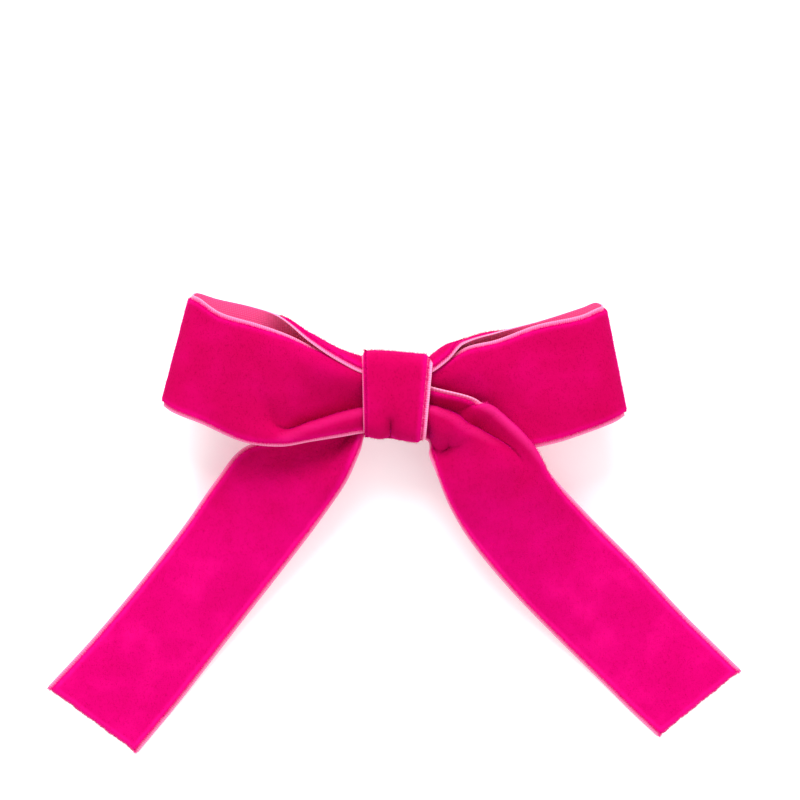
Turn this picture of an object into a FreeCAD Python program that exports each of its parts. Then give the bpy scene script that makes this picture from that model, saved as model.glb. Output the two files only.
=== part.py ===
"""A hair barrette: a velvet ribbon bow on a French clip, closed.

X runs along the clip, with the hinge towards -X and the catch towards +X. +Y is up when it is worn, so the
tails point towards -Y. +Z points out of the head, towards the face of the bow. The origin is midway between
the rims of the two sewing holes in the base plate.
"""
import FreeCAD, Part
import math
import os
import re
import Sketcher

# name: (value in millimetres, degrees or shares, what it is)
SIZES = {
    # clip
    "plate_length": (62, "base plate, end to end"),
    "plate_width": (9, "base plate across"),
    "plate_thickness": (0.6, "sheet of the base plate"),
    "plate_corner": (1.5, "rounding of the base plate's corners, in plan"),
    "arch_radius": (120, "underside of the base plate"),
    "hole_spacing": (40, "between the sewing holes"),
    "hole_radius": (0.9, "sewing hole"),
    "clip_depth": (12, "from the origin down to the tips of the catch fingers"),
    "pin_inset": (3, "hinge pin from the end of the base plate"),
    "pin_height": (2.9, "hinge pin above the tips of the catch fingers"),
    "pin_radius": (0.6, "hinge pin"),
    "pin_head_radius": (1.1, "rivet head of the hinge pin"),
    "pin_head_length": (0.4, "rivet head of the hinge pin"),
    "running_gap": (0.06, "between the pin and what turns on it"),
    "side_gap": (0.15, "between parts side by side on the pin"),
    "ear_thickness": (0.5, "hinge ears of the base plate"),
    "ear_radius": (1.5, "rounded end of a hinge ear"),
    "arm_thickness": (0.5, "sheet of the swing arm"),
    "arm_width": (5.8, "swing arm between its ends"),
    "arm_radius": (200, "top of the swing arm"),
    "arm_ear_inset": (0.3, "ear of the swing arm, inwards of the plate's ear"),
    "arm_taper": (1.4, "where the swing arm widens into its eye, along X"),
    "arm_below_pin": (1.45, "top of the swing arm under the pin's axis"),
    "eye_length": (6.4, "eye of the swing arm, along X"),
    "eye_window_length": (4.2, "hole of the eye, along X"),
    "eye_window_width": (6.6, "hole of the eye, along Y"),
    "bar_thickness": (0.35, "spring strip of the tension bar"),
    "bar_width": (4.4, "tension bar across"),
    "bar_reach": (24, "free end of the tension bar from the middle of the clip"),
    "bar_drop": (2.6, "crown of the tension bar below the origin"),
    "finger_width": (3, "catch finger along X"),
    "finger_thickness": (0.7, "catch finger along Y"),
    "finger_spread": (2.5, "middle of a catch finger from the middle of the clip"),
    "finger_length": (7.4, "catch finger, from its bend to its tip"),
    "tip_rise": (0.3, "slope on the inner side of a finger's tip, along Z"),
    "tip_run": (0.2, "slope on the inner side of a finger's tip, along Y"),
    "tip_edge": (0.05, "outer end of the tip's flat, inwards of the finger's middle"),
    "barb_reach": (0.38, "barb beyond the outer face of its finger"),
    "barb_height": (0.45, "point of the barb above the tip"),
    "barb_top": (0.6, "upper end of the barb above the tip"),
    "finger_gap": (0.05, "between a finger's bend and the plate's tab"),
    # bow
    "ribbon_thickness": (1.2, "velvet ribbon, weave and pile"),
    "layer_gap": (0.2, "between ribbon layers at the middle"),
    "stack_height": (8, "pinched ribbon layers, back to front"),
    "pinch_width": (19.6, "pinched ribbon, bottom edge to top edge"),
    "pinch_corner": (3.4, "rounding of the pinched ribbon"),
    "glue_thickness": (0.5, "glue between the crown of the plate and the ribbon"),
    "glue_length": (14, "glue bead along X"),
    "glue_width": (6, "glue bead along Y"),
    "wrap_width": (16, "ribbon of the centre wrap, along X"),
    "wrap_thickness": (1.1, "ribbon of the centre wrap"),
    "wrap_overlap": (8, "overlap of the wrap's ends, under the plate"),
    "seam_depth": (0.88, "outer end of the wrap, below the end that it overlaps"),
    "wrap_gap": (0.1, "between the wrap and what it goes round"),
    "thread_width": (3, "turns of thread side by side"),
    "thread_depth": (0.7, "turns of thread on top of each other"),
    "thread_gap": (0.05, "between the thread and the sides of its groove"),
    "root_inset": (1, "edge of a loop's root, inwards of the edge of the pinched ribbon"),
    "left_reach": (57.4, "left loop from the middle"),
    "left_fold_top": (24.6, "upper end of the left fold, above the middle"),
    "left_fold_low": (1.9, "lower end of the left fold, below the middle"),
    "left_lean": (8, "upper end of the left fold, inwards of its lower end"),
    "left_top_x": (24, "a point on the left loop's upper edge, from the middle"),
    "left_top_y": (15.5, "the same point, above the middle"),
    "left_low_x": (34, "a point on the left loop's lower edge, from the middle"),
    "left_low_y": (10.8, "the same point, below the middle"),
    "left_rise": (1, "front of the left loop, in front of the pinched layers"),
    "left_sag": (1, "back of the left loop, behind the pinched layers"),
    "right_reach": (55.8, "right loop from the middle"),
    "right_fold_top": (22.4, "upper end of the right fold, above the middle"),
    "right_fold_low": (3.6, "lower end of the right fold, below the middle"),
    "right_lean": (5.4, "upper end of the right fold, inwards of its lower end"),
    "right_top_x": (22, "a point on the right loop's upper edge, from the middle"),
    "right_top_y": (13, "the same point, above the middle"),
    "right_low_x": (31.7, "a point on the right loop's lower edge, from the middle"),
    "right_low_y": (11.6, "the same point, below the middle"),
    "right_rise": (-0.8, "front of the right loop, in front of the pinched layers"),
    "right_sag": (1.6, "back of the right loop, behind the pinched layers"),
    "fold_radius": (3.4, "outer radius of a loop's fold"),
    "tail_width": (25, "ribbon of the tails"),
    "left_tail_length": (106, "middle of the bow to the left tail's cut end"),
    "right_tail_length": (104, "middle of the bow to the right tail's cut end"),
    "left_tail_angle": (227, "direction of the left tail, from +X"),
    "right_tail_angle": (314.5, "direction of the right tail, from +X"),
    "tail_landing": (0.86, "where a tail reaches the table, as a share of its length"),
    "tail_half_way": (0.43, "half of that share"),
    "left_tail_near": (0.37, "where the left tail starts to fall, as a share of its loop's reach"),
    "left_tail_far": (0.78, "where the left tail leaves its loop, as a share of the loop's reach"),
    "left_far_fall": (0.52, "share of its fall that the left tail has made there"),
    "left_late_fall": (0.85, "share of its fall that the left tail has made half way to the table"),
    "left_root_gap": (0.7, "between the left tail's root and the edge of the plate, in plan"),
    "left_waist": (5.8, "inner edge of the left tail, inwards of its straight line, near the loop"),
    "left_waist_at": (0.32, "where that is, as a share of the tail's length"),
    "left_outer_far": (3, "outer edge of the left tail, outwards of its straight line, far from the loop"),
    "left_outer_far_at": (0.66, "where that is, as a share of the tail's length"),
    "left_outer_near": (6, "outer edge of the left tail, outwards of its straight line, near the loop"),
    "left_outer_near_at": (0.34, "where that is, as a share of the tail's length"),
    "left_cut_skew": (3, "corners of the left cut end, ahead of and behind its middle"),
    "right_tail_near": (0.37, "where the right tail is highest, as a share of its loop's reach"),
    "right_near_rise": (1.5, "how much it rises up to there"),
    "right_tail_far": (0.74, "where the right tail leaves its loop, as a share of the loop's reach"),
    "right_far_fall": (0.1, "share of its fall that the right tail has made there"),
    "right_late_fall": (0.63, "share of its fall that the right tail has made half way to the table"),
    "right_waist_at": (0.36, "middle of the right tail's inner edge, as a share of its length"),
    "right_shoulder_at": (0.3, "where the right tail's outer edge straightens, as a share of its length"),
    "right_excess": (0.8, "right tail beyond its straight line on the outer side"),
    "right_cut_skew": (2, "corners of the right cut end, ahead of and behind its middle"),
}

# heights and places that follow from the sizes, as formulas
ARCH_CENTRE = "(0 - sqrt((arch_radius + plate_thickness) ^ 2 - (hole_spacing / 2) ^ 2))"
CROWN = f"({ARCH_CENTRE} + arch_radius + plate_thickness)"
TABLE = "(0 - clip_depth)"
PIN_X = "(pin_inset - plate_length / 2)"
PIN_Z = "(pin_height - clip_depth)"
STACK_LOW = f"({CROWN} + glue_thickness)"
STACK_HIGH = f"({STACK_LOW} + stack_height)"
LAYER = "(ribbon_thickness + layer_gap)"
PINCH_CORNER = "min(pinch_corner; stack_height * 0.44)"
WRAP_FLOOR = f"({CROWN} - plate_thickness - (wrap_width / 2) ^ 2 / 2 / arch_radius - wrap_gap * 2)"
FINGER_X = "(plate_length / 2 - pin_inset)"
ARM_TOP = f"({PIN_Z} - arm_below_pin)"
ARM_CENTRE = f"({ARM_TOP} - sqrt(arm_radius ^ 2 - {PIN_X} ^ 2))"

document = FreeCAD.newDocument("barrette")
sheet = document.addObject("Spreadsheet::Sheet", "Sizes")
for row, (name, (number, meaning)) in enumerate(SIZES.items(), start=1):
    sheet.set(f"A{row}", meaning)
    sheet.set(f"B{row}", str(number))
    sheet.setAlias(f"B{row}", name)
document.recompute()


def bound(formula):
    """A formula in plain names, as an expression that reads the sheet."""
    return re.sub(r"\b(" + "|".join(SIZES) + r")\b", r"Sizes.\1", str(formula))


def value(formula):
    return float(sheet.evalExpression(bound(formula)))


def plate_underside(x):
    return f"({ARCH_CENTRE} + sqrt(arch_radius ^ 2 - ({x}) ^ 2))"


def plate_middle(x):
    """Halfway through the plate's thickness, where lugs start."""
    return f"({ARCH_CENTRE} + sqrt((arch_radius + plate_thickness / 2) ^ 2 - ({x}) ^ 2))"


def arm_top(x):
    return f"({ARM_CENTRE} + sqrt(arm_radius ^ 2 - ({x}) ^ 2))"


def arm_middle(x):
    return f"({ARM_CENTRE} + sqrt((arm_radius - arm_thickness / 2) ^ 2 - ({x}) ^ 2))"


def new_body(label):
    body = document.addObject("PartDesign::Body", label)
    body.Label = label
    return body


def new_sketch(body, role, offset="0"):
    """A sketch on one of the body's own planes, moved along the plane's normal."""
    sketch = body.newObject("Sketcher::SketchObject", f"{body.Label}_sketch")
    plane = [item for item in body.Origin.OriginFeatures if item.Role == role][0]
    sketch.AttachmentSupport = [(plane, "")]
    sketch.MapMode = "FlatFace"
    sketch.setExpression("AttachmentOffset.Base.z", bound(offset))
    return sketch


def fix_vertex(sketch, edge, vertex, point):
    for direction, formula in zip(("DistanceX", "DistanceY"), point):
        constraint = Sketcher.Constraint(direction, edge, vertex, value(formula))
        number = sketch.addConstraint(constraint)
        sketch.setExpression(f"Constraints[{number}]", bound(formula))


def vector(point):
    return FreeCAD.Vector(value(point[0]), value(point[1]), 0)


def outline(sketch, *corners):
    """A closed outline. Each corner is a point, or (middle, end) where an arc leads to it."""
    ends = [corner if isinstance(corner[0], str) else corner[1] for corner in corners]
    first, edges = ends[-1], []
    for corner, end in zip(corners, ends):
        start = first if not edges else edges[-1][1]
        if corner is end:
            shape = Part.LineSegment(vector(start), vector(end))
        else:
            shape = Part.Arc(vector(start), vector(corner[0]), vector(end))
        edge = sketch.addGeometry(shape)
        forward = sketch.getPoint(edge, 1).distanceToPoint(vector(start)) < 1e-6
        edges.append((edge, end, (1, 2) if forward else (2, 1)))
        fix_vertex(sketch, edge, edges[-1][2][1], end)
        if corner is not end:
            middle = sketch.addGeometry(Part.Point(vector(corner[0])), True)
            fix_vertex(sketch, middle, 1, corner[0])
            sketch.addConstraint(Sketcher.Constraint("PointOnObject", middle, 1, edge))
    for (before, _, (_, tail)), (after, _, (head, _)) in zip(edges, edges[1:] + edges[:1]):
        sketch.addConstraint(Sketcher.Constraint("Coincident", before, tail, after, head))


def circle(sketch, centre, radius):
    edge = sketch.addGeometry(Part.Circle(vector(centre), FreeCAD.Vector(0, 0, 1), value(radius)))
    fix_vertex(sketch, edge, 3, centre)
    number = sketch.addConstraint(Sketcher.Constraint("Radius", edge, value(radius)))
    sketch.setExpression(f"Constraints[{number}]", bound(radius))


def rectangle(sketch, x_low, x_high, y_low, y_high):
    outline(sketch, (x_high, y_low), (x_high, y_high), (x_low, y_high), (x_low, y_low))


def rounded(sketch, half_width, low, high, corner):
    """A rectangle about the sketch's vertical axis with round corners."""
    side, round_in = f"({half_width})", f"({corner}) * {1 - math.sqrt(0.5)}"
    inner, floor, roof = f"({half_width} - ({corner}))", f"({low} + {corner})", f"({high} - ({corner}))"
    outline(
        sketch,
        (inner, low),
        ((f"{side} - {round_in}", f"{low} + {round_in}"), (side, floor)),
        (side, roof),
        ((f"{side} - {round_in}", f"{high} - {round_in}"), (inner, high)),
        (f"0 - {inner}", high),
        ((f"{round_in} - {side}", f"{high} - {round_in}"), (f"0 - {side}", roof)),
        (f"0 - {side}", floor),
        ((f"{round_in} - {side}", f"{low} + {round_in}"), (f"0 - {inner}", low)),
    )


def pad(body, sketch, length, symmetric=False, reverse=False):
    feature = body.newObject("PartDesign::Pad", f"{body.Label}_pad")
    feature.Profile = sketch
    feature.setExpression("Length", bound(length))
    feature.SideType = "Symmetric" if symmetric else "One side"
    feature.Reversed = reverse
    document.recompute()
    return feature


def cut_through(body, sketch, depth):
    """Cuts both ways from the sketch, a total of depth, and checks that something went."""
    before = body.Shape.Volume
    feature = body.newObject("PartDesign::Pocket", f"{body.Label}_cut")
    feature.Profile = sketch
    feature.setExpression("Length", bound(depth))
    feature.SideType = "Symmetric"
    document.recompute()
    if body.Shape.Volume > before - 1e-4:
        raise ValueError(f"{body.Label}: a cut took nothing away")
    return feature


def mirror_across_y(body, feature):
    """Repeats a feature on the other side of the XZ plane."""
    copy = body.newObject("PartDesign::Mirrored", f"{body.Label}_mirrored")
    copy.Originals = [feature]
    plane = [item for item in body.Origin.OriginFeatures if item.Role == "XZ_Plane"][0]
    copy.MirrorPlane = (plane, [""])
    body.Tip = copy
    document.recompute()


def strip(sketch, centre, top_radius, thickness, x_low, x_high):
    """A bent strip seen from the side: two arcs about one centre, closed by short ends."""
    def on(radius, x):
        return (x, f"{centre} + sqrt(({radius}) ^ 2 - ({x}) ^ 2)")
    under = f"{top_radius} - {thickness}"
    outline(
        sketch,
        (on(top_radius, "0"), on(top_radius, x_low)),
        on(under, x_low),
        (on(under, "0"), on(under, x_high)),
        on(top_radius, x_high),
    )


def make_base_plate():
    body = new_body("base_plate")
    half = "plate_length / 2"
    side = new_sketch(body, "XZ_Plane")
    strip(side, ARCH_CENTRE, "arch_radius + plate_thickness", "plate_thickness", f"0 - {half}", half)
    pad(body, side, "plate_width", symmetric=True)

    corners = new_sketch(body, "XY_Plane")
    rounded(corners, half, "(0 - plate_width / 2)", "(plate_width / 2)", "plate_corner")
    rectangle(corners, "0 - plate_length", "plate_length", "0 - plate_width", "plate_width")
    cut_through(body, corners, "plate_length")

    holes = new_sketch(body, "XY_Plane")
    circle(holes, ("0 - hole_spacing / 2", "0"), "hole_radius")
    circle(holes, ("hole_spacing / 2", "0"), "hole_radius")
    cut_through(body, holes, "plate_length")

    ear = new_sketch(body, "XZ_Plane", "plate_width / 2 - ear_thickness")
    left, right = f"{PIN_X} - ear_radius", f"{PIN_X} + ear_radius"
    outline(
        ear,
        (left, PIN_Z),
        ((PIN_X, f"{PIN_Z} - ear_radius"), (right, PIN_Z)),
        (right, plate_middle(right)),
        (left, plate_middle(left)),
    )
    mirror_across_y(body, pad(body, ear, "ear_thickness"))

    pin_holes = new_sketch(body, "XZ_Plane")
    circle(pin_holes, (PIN_X, PIN_Z), "pin_radius + running_gap")
    cut_through(body, pin_holes, "plate_width * 2")

    tab = new_sketch(body, "XZ_Plane", "finger_spread - finger_thickness / 2")
    left, right = f"{FINGER_X} - finger_width / 2", f"{FINGER_X} + finger_width / 2"
    low = f"{TABLE} + finger_length + finger_gap"
    outline(tab, (right, low), (right, plate_middle(right)), (left, plate_middle(left)), (left, low))
    mirror_across_y(body, pad(body, tab, "finger_thickness"))
    return body


def make_catch_finger(label, side):
    """A prong with a round bend at the top and a barb outside, near its tip. side is -1 or 1 along Y."""
    body = new_body(label)
    sketch = new_sketch(body, "YZ_Plane", f"{FINGER_X} - finger_width / 2")
    half = "finger_thickness / 2"
    bend = f"{TABLE} + finger_length - {half}"

    def at(outwards, height):
        return (f"{side} * (finger_spread + {outwards})", height)
    outline(
        sketch,
        at(half, bend),
        (at("0", f"{bend} + {half}"), at(f"(0 - {half})", bend)),
        at(f"(0 - {half})", f"{TABLE} + tip_rise"),
        at(f"(tip_run - {half})", TABLE),
        at("(0 - tip_edge)", TABLE),
        at(f"{half} + barb_reach", f"{TABLE} + barb_height"),
        at(half, f"{TABLE} + barb_top"),
    )
    pad(body, sketch, "finger_width")
    return body


def make_swing_arm():
    body = new_body("swing_arm")
    tail = f"{PIN_X} - ear_radius + arm_ear_inset"
    eye_end = f"({FINGER_X} + eye_length / 2)"
    eye_start = f"({FINGER_X} - eye_length / 2)"
    side = new_sketch(body, "XZ_Plane")
    strip(side, ARM_CENTRE, "arm_radius", "arm_thickness", tail, eye_end)
    pad(body, side, "plate_width", symmetric=True)

    waist = new_sketch(body, "XY_Plane")
    far_x = "(0 - plate_length)"
    for y in (-1, 1):
        outline(
            waist,
            (f"{eye_start} - arm_taper", f"{y} * arm_width / 2"),
            (eye_start, f"{y} * plate_width / 2"),
            (eye_start, f"{y} * plate_width"),
            (far_x, f"{y} * plate_width"),
            (far_x, f"{y} * arm_width / 2"),
        )
    window = "eye_window_length / 2"
    rectangle(
        waist, f"{FINGER_X} - {window}", f"{FINGER_X} + {window}",
        "0 - eye_window_width / 2", "eye_window_width / 2",
    )
    cut_through(body, waist, "plate_length")

    ear = new_sketch(body, "XZ_Plane", "arm_width / 2 - arm_thickness")
    radius = "(ear_radius - arm_ear_inset)"
    left, right = f"({PIN_X} - {radius})", f"({PIN_X} + {radius})"
    outline(
        ear,
        (left, arm_middle(left)),
        (right, arm_middle(right)),
        (right, PIN_Z),
        ((PIN_X, f"{PIN_Z} + {radius}"), (left, PIN_Z)),
    )
    mirror_across_y(body, pad(body, ear, "arm_thickness"))

    pin_holes = new_sketch(body, "XZ_Plane")
    circle(pin_holes, (PIN_X, PIN_Z), "pin_radius + running_gap")
    cut_through(body, pin_holes, "plate_width * 2")
    return body


def make_tension_bar():
    body = new_body("tension_bar")
    bore = "pin_radius + running_gap"
    roll = new_sketch(body, "XZ_Plane")
    circle(roll, (PIN_X, PIN_Z), bore)
    circle(roll, (PIN_X, PIN_Z), f"{bore} + bar_thickness")
    pad(body, roll, "bar_width", symmetric=True)

    bow = new_sketch(body, "XZ_Plane")
    root_top = f"{PIN_Z} + {bore} + bar_thickness"
    rise = f"(0 - bar_drop - ({root_top}))"
    end_top = f"(0 - bar_drop - {rise} * (bar_reach / {PIN_X}) ^ 2)"
    crown = "(0 - bar_drop)"
    outline(
        bow,
        (("0", crown), ("bar_reach", end_top)),
        ("bar_reach", f"{end_top} - bar_thickness"),
        (("0", f"{crown} - bar_thickness"), (PIN_X, f"{root_top} - bar_thickness")),
        (PIN_X, root_top),
    )
    pad(body, bow, "bar_width", symmetric=True)
    return body


def make_hinge_pin():
    body = new_body("hinge_pin")
    half = "(plate_width / 2 + side_gap)"
    shank = new_sketch(body, "XZ_Plane")
    circle(shank, (PIN_X, PIN_Z), "pin_radius")
    pad(body, shank, f"{half} * 2", symmetric=True)
    head = new_sketch(body, "XZ_Plane", half)
    circle(head, (PIN_X, PIN_Z), "pin_head_radius")
    mirror_across_y(body, pad(body, head, "pin_head_length"))
    return body


def make_centre_wrap():
    """A sleeve round the pinched ribbon and the plate; its ends overlap under the plate."""
    body = new_body("centre_wrap")
    sketch = new_sketch(body, "YZ_Plane")
    inner, top = "(pinch_width / 2 + wrap_gap)", f"({STACK_HIGH} + wrap_gap)"
    rounded(sketch, inner, WRAP_FLOOR, top, PINCH_CORNER)
    rounded(
        sketch, f"({inner} + wrap_thickness)", f"({WRAP_FLOOR} - wrap_thickness)",
        f"({top} + wrap_thickness)", f"({PINCH_CORNER} + wrap_thickness)",
    )
    pad(body, sketch, "wrap_width", symmetric=True)
    seam = new_sketch(body, "YZ_Plane")
    floor = f"{WRAP_FLOOR} - wrap_thickness"
    rectangle(
        seam, "0 - wrap_overlap / 2", "wrap_overlap / 2",
        f"{floor} - seam_depth", f"{floor} + wrap_thickness / 2",
    )
    pad(body, seam, "wrap_width", symmetric=True)
    return body


def make_pinched_middle():
    body = new_body("pinched_middle")
    half = "(pinch_width / 2)"
    block = new_sketch(body, "YZ_Plane")
    rounded(block, half, STACK_LOW, STACK_HIGH, PINCH_CORNER)
    pad(body, block, "wrap_width", symmetric=True)
    groove = new_sketch(body, "YZ_Plane")
    rounded(groove, half, STACK_LOW, STACK_HIGH, PINCH_CORNER)
    rounded(
        groove, f"({half} - thread_depth)", f"({STACK_LOW} + thread_depth)",
        f"({STACK_HIGH} - thread_depth)", f"({PINCH_CORNER} - thread_depth)",
    )
    cut_through(body, groove, "thread_width")
    return body


def make_binding_thread():
    body = new_body("binding_thread")
    half = "(pinch_width / 2)"
    turns = new_sketch(body, "YZ_Plane")
    for inset in ("thread_gap", "thread_depth"):
        rounded(
            turns, f"({half} - {inset})", f"({STACK_LOW} + {inset})",
            f"({STACK_HIGH} - {inset})", f"({PINCH_CORNER} - {inset})",
        )
    pad(body, turns, "thread_width - 2 * thread_gap", symmetric=True)
    return body


def make_glue_bead():
    body = new_body("glue_bead")
    side = new_sketch(body, "XZ_Plane")
    half = "glue_length / 2"
    edge = f"{ARCH_CENTRE} + sqrt((arch_radius + plate_thickness) ^ 2 - ({half}) ^ 2)"
    outline(
        side,
        (half, STACK_LOW),
        (f"0 - {half}", STACK_LOW),
        (f"0 - {half}", edge),
        (("0", CROWN), (half, edge)),
    )
    pad(body, side, "glue_width", symmetric=True)
    return body


def make_loop(name, side, low, high):
    """A ribbon strand out, a fold and a strand back, as a band seen along Y, then trimmed in plan.
    side is -1 or 1 along X, and low and high are where the strands leave the pinched ribbon."""
    label = f"{name}_loop"
    reach, crown, belly = f"{name}_reach", f"({STACK_HIGH} + {name}_rise)", f"({STACK_LOW} - {name}_sag)"
    body = new_body(label)
    band = new_sketch(body, "XZ_Plane")
    fold_z = f"(({crown} + {belly}) / 2)"
    root = "(wrap_width / 2)"
    for inset, nose in (("0", "0"), ("ribbon_thickness", "ribbon_thickness * 2")):
        radius = f"(fold_radius - {inset})"
        turn = f"{side} * ({reach} - fold_radius)"
        outline(
            band,
            (f"{side} * ({root} + {nose})", f"{high} - ({inset})"),
            ((f"{side} * {reach} / 2", f"{crown} - ({inset})"), (turn, f"{fold_z} + {radius}")),
            ((f"{side} * ({reach} - ({inset}))", fold_z), (turn, f"{fold_z} - {radius}")),
            ((f"{side} * {reach} / 2", f"{belly} + {inset}"),
             (f"{side} * ({root} + {nose})", f"{low} + {inset}")),
        )
    pad(body, band, f"{reach} * 2", symmetric=True)

    plan = new_sketch(body, "XY_Plane")
    top_x = f"{side} * ({reach} - {name}_lean)"
    outline(
        plan,
        (f"{side} * {root}", "pinch_width / 2 - root_inset"),
        ((f"{side} * {name}_top_x", f"{name}_top_y"), (top_x, f"{name}_fold_top")),
        (f"{side} * {reach}", f"0 - {name}_fold_low"),
        ((f"{side} * {name}_low_x", f"0 - {name}_low_y"),
         (f"{side} * {root}", "root_inset - pinch_width / 2")),
    )
    frame = f"({reach} * 2)"
    rectangle(plan, f"0 - {frame}", frame, f"0 - {frame}", frame)
    cut_through(body, plan, "clip_depth * 4")
    return body


def make_tail(label, heights, plan_edges, length, angle):
    """A strip that falls from the pinch to the table. Its X runs along the tail until it is turned."""
    body = new_body(label)
    rest = f"({TABLE} + ribbon_thickness)"
    side = new_sketch(body, "XZ_Plane")
    far = f"({length} + tail_width / 2)"
    tops = [(x, f"({z})") for x, z in heights] + [(f"{length} * tail_landing", rest)]

    def under(point):
        return (point[0], f"{point[1]} - ribbon_thickness")
    middles, ends = tops[1::2], tops[2::2]
    lower = [under(point) for point in tops]
    steps = [(far, rest), (far, f"{TABLE}"), lower[-1]]
    backwards = lower[-2::-1]
    steps += [(backwards[number], backwards[number + 1]) for number in range(0, len(backwards), 2)]
    steps += [tops[0]] + [(middle, end) for middle, end in zip(middles, ends)]
    outline(side, *steps)
    pad(body, side, "tail_width * 2", symmetric=True)

    plan = new_sketch(body, "XY_Plane")
    outline(plan, *plan_edges)
    frame = f"({length} * 2)"
    rectangle(plan, f"0 - {frame}", frame, f"0 - {frame}", frame)
    cut_through(body, plan, "clip_depth * 4")
    body.setExpression("Placement.Rotation.Angle", bound(angle))
    document.recompute()
    return body


def turned(x, y, angle):
    """A point of the bow's plan, in the plan of a tail that is turned by angle."""
    cosine, sine = f"cos({angle} * 1 deg)", f"sin({angle} * 1 deg)"
    return (f"({x}) * {cosine} + ({y}) * {sine}", f"({y}) * {cosine} - ({x}) * {sine}")


def make_left_tail():
    """Leaves the back of the pinch and passes behind the left loop."""
    high = f"({STACK_LOW} + ribbon_thickness)"
    fall = f"({high} + clip_depth - ribbon_thickness)"
    length, angle = "left_tail_length", "left_tail_angle"
    heights = [
        ("0", high),
        ("left_reach * left_tail_near", f"{high} - left_sag - ribbon_thickness"),
        ("left_reach * left_tail_far", f"{high} - {fall} * left_far_fall"),
        (f"left_reach * left_tail_far / 2 + {length} * tail_half_way", f"{high} - {fall} * left_late_fall"),
    ]
    edges = [
        turned("0 - wrap_width / 2", "0 - pinch_width / 2", angle),
        ((f"{length} * left_waist_at", "tail_width / 2 - left_waist"),
         (f"{length} - left_cut_skew", "tail_width / 2")),
        (f"{length} + left_cut_skew", "0 - tail_width / 2"),
        ((f"{length} * left_outer_far_at", "0 - tail_width / 2 - left_outer_far"),
         (f"{length} * left_outer_near_at", "0 - tail_width / 2 - left_outer_near")),
        turned("0 - wrap_width / 2", "0 - plate_width / 2 - left_root_gap", angle),
    ]
    return make_tail("left_tail", heights, edges, length, angle)


def make_right_tail():
    """Leaves the front of the pinch and drapes over the lower edge of the right loop."""
    high = STACK_HIGH
    fall = f"({high} + clip_depth - ribbon_thickness)"
    length, angle = "right_tail_length", "right_tail_angle"
    heights = [
        ("0", high),
        ("right_reach * right_tail_near", f"{high} + right_near_rise"),
        ("right_reach * right_tail_far", f"{high} - {fall} * right_far_fall"),
        (f"right_reach * right_tail_far / 2 + {length} * tail_half_way",
         f"{high} - {fall} * right_late_fall"),
    ]
    edges = [
        turned("wrap_width / 2", "root_inset - pinch_width / 2", angle),
        ((f"{length} * right_waist_at", "right_excess - tail_width / 2"),
         (f"{length} - right_cut_skew", "0 - tail_width / 2")),
        (f"{length} + right_cut_skew", "tail_width / 2 + right_excess"),
        (f"{length} * right_shoulder_at", "tail_width / 2 + right_excess"),
        turned("wrap_width / 2", "pinch_width / 4", angle),
    ]
    return make_tail("right_tail", heights, edges, length, angle)


bodies = [
    make_base_plate(),
    make_catch_finger("near_catch_finger", -1),
    make_catch_finger("far_catch_finger", 1),
    make_swing_arm(),
    make_tension_bar(),
    make_hinge_pin(),
    make_pinched_middle(),
    make_binding_thread(),
    make_glue_bead(),
    make_centre_wrap(),
    make_loop("left", -1, f"({STACK_LOW} + {LAYER})", STACK_HIGH),
    make_loop("right", 1, STACK_LOW, f"({STACK_HIGH} - {LAYER})"),
    make_left_tail(),
    make_right_tail(),
]
document.recompute()

for item in document.Objects:
    if {"Invalid", "Error"} & set(item.State):
        raise ValueError(f"{item.Label} failed: {item.State}")
for body in bodies:
    if body.Shape.isNull() or not body.Shape.isValid() or len(body.Shape.Solids) != 1:
        raise ValueError(f"{body.Label} is not one valid solid")

os.makedirs("parts", exist_ok=True)
for body in bodies:
    body.Shape.exportStep(f"parts/{body.Label}.step")
    box = body.Shape.BoundBox
    print(f"{body.Label:18s} {body.Shape.Volume:9.1f} mm3  "
          f"X {box.XMin:7.2f} {box.XMax:7.2f}  Y {box.YMin:7.2f} {box.YMax:7.2f}  "
          f"Z {box.ZMin:7.2f} {box.ZMax:7.2f}")
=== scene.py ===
"""A velvet ribbon bow on a French clip, dressed around its CAD frame."""
import math

import bmesh
import bpy
import numpy as np
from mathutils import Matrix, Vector


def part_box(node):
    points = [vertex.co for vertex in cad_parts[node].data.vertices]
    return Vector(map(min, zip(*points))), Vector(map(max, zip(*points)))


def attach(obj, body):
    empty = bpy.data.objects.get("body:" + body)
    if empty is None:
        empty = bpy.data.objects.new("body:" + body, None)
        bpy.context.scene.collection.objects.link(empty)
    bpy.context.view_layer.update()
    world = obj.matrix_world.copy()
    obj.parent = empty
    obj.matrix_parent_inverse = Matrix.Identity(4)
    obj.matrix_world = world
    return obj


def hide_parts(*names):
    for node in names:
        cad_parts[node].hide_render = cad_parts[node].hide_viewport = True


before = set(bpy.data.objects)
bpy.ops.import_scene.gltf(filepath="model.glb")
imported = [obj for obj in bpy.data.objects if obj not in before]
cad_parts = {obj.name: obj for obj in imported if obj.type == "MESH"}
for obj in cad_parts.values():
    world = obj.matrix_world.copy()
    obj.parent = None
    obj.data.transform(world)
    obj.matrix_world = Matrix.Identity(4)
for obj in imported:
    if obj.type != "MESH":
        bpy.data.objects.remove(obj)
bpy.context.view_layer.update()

MM = 0.001

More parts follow.
